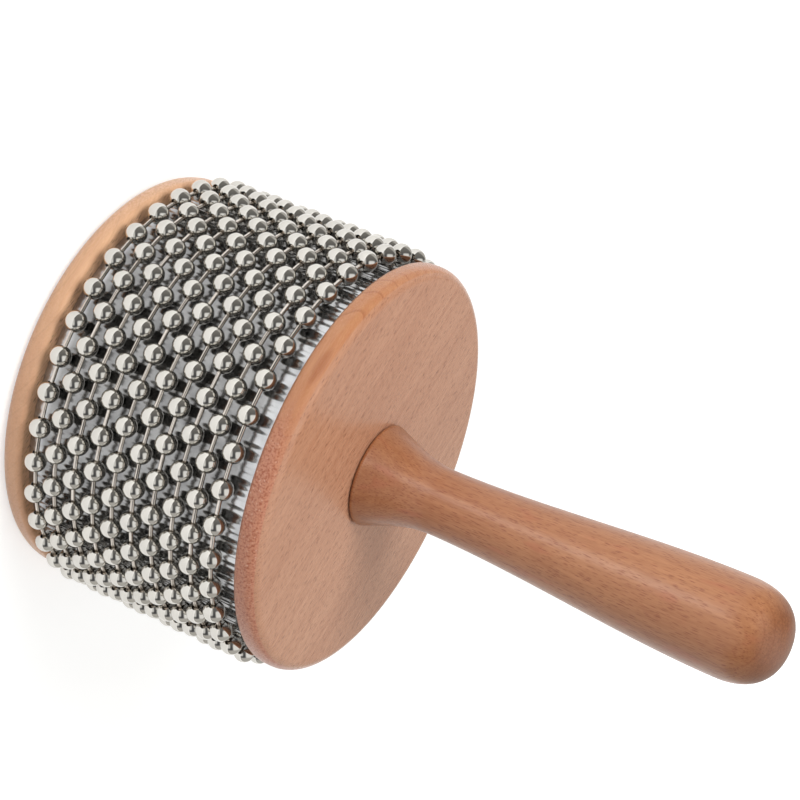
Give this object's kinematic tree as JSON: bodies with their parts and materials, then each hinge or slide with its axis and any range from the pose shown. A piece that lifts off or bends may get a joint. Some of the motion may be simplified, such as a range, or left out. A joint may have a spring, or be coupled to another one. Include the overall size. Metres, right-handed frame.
{
  "type": "cabasa",
  "caption": "Hand shaker with a turned wooden handle, two wooden discs and loose loops of ball chain that turn round a ridged steel drum.",
  "frame": {"origin": "centre of the far disc's flat outer face, which it stands on", "axes": "+Z along the drum's axis from the far disc to the end of the handle; -Y faces the viewer of the picture's side"},
  "size_m": [0.1254, 0.1254, 0.208],
  "materials": {
    "disc_wood": "fine sanded pale beech under a thin satin lacquer",
    "core_wood": "plain sanded wood, hidden",
    "handle_wood": "turned beech under a semi-gloss lacquer",
    "sleeve_steel": "bright rolled stainless sheet with fine lengthwise ridges",
    "bead_nickel": "bright nickel plating on hollow steel beads",
    "link_nickel": "bright nickel plating on drawn wire links"
  },
  "bodies": {
    "drum": {"far_disc": "disc_wood", "core": "core_wood", "sleeve": "sleeve_steel", "near_disc": "disc_wood", "handle": "handle_wood"},
    "loop_01": {"loop_01_beads": "bead_nickel", "loop_01_links": "link_nickel"},
    "loop_02": {"loop_02_beads": "bead_nickel", "loop_02_links": "link_nickel"},
    "loop_03": {"loop_03_beads": "bead_nickel", "loop_03_links": "link_nickel"},
    "loop_04": {"loop_04_beads": "bead_nickel", "loop_04_links": "link_nickel"},
    "loop_05": {"loop_05_beads": "bead_nickel", "loop_05_links": "link_nickel"},
    "loop_06": {"loop_06_beads": "bead_nickel", "loop_06_links": "link_nickel"},
    "loop_07": {"loop_07_beads": "bead_nickel", "loop_07_links": "link_nickel"},
    "loop_08": {"loop_08_beads": "bead_nickel", "loop_08_links": "link_nickel"},
    "loop_09": {"loop_09_beads": "bead_nickel", "loop_09_links": "link_nickel"},
    "loop_10": {"loop_10_beads": "bead_nickel", "loop_10_links": "link_nickel"}
  },
  "joints": [
    {"name": "loop_01_turn", "type": "hinge", "parent": "drum", "child": "loop_01", "pos_m": [0, 0, 0], "axis": [0, 0, 1], "continuous": true},
    {"name": "loop_02_turn", "type": "hinge", "parent": "drum", "child": "loop_02", "pos_m": [0, 0, 0], "axis": [0, 0, 1], "continuous": true},
    {"name": "loop_03_turn", "type": "hinge", "parent": "drum", "child": "loop_03", "pos_m": [0, 0, 0], "axis": [0, 0, 1], "continuous": true},
    {"name": "loop_04_turn", "type": "hinge", "parent": "drum", "child": "loop_04", "pos_m": [0, 0, 0], "axis": [0, 0, 1], "continuous": true},
    {"name": "loop_05_turn", "type": "hinge", "parent": "drum", "child": "loop_05", "pos_m": [0, 0, 0], "axis": [0, 0, 1], "continuous": true},
    {"name": "loop_06_turn", "type": "hinge", "parent": "drum", "child": "loop_06", "pos_m": [0, 0, 0], "axis": [0, 0, 1], "continuous": true},
    {"name": "loop_07_turn", "type": "hinge", "parent": "drum", "child": "loop_07", "pos_m": [0, 0, 0], "axis": [0, 0, 1], "continuous": true},
    {"name": "loop_08_turn", "type": "hinge", "parent": "drum", "child": "loop_08", "pos_m": [0, 0, 0], "axis": [0, 0, 1], "continuous": true},
    {"name": "loop_09_turn", "type": "hinge", "parent": "drum", "child": "loop_09", "pos_m": [0, 0, 0], "axis": [0, 0, 1], "continuous": true},
    {"name": "loop_10_turn", "type": "hinge", "parent": "drum", "child": "loop_10", "pos_m": [0, 0, 0], "axis": [0, 0, 1], "continuous": true}
  ]
}
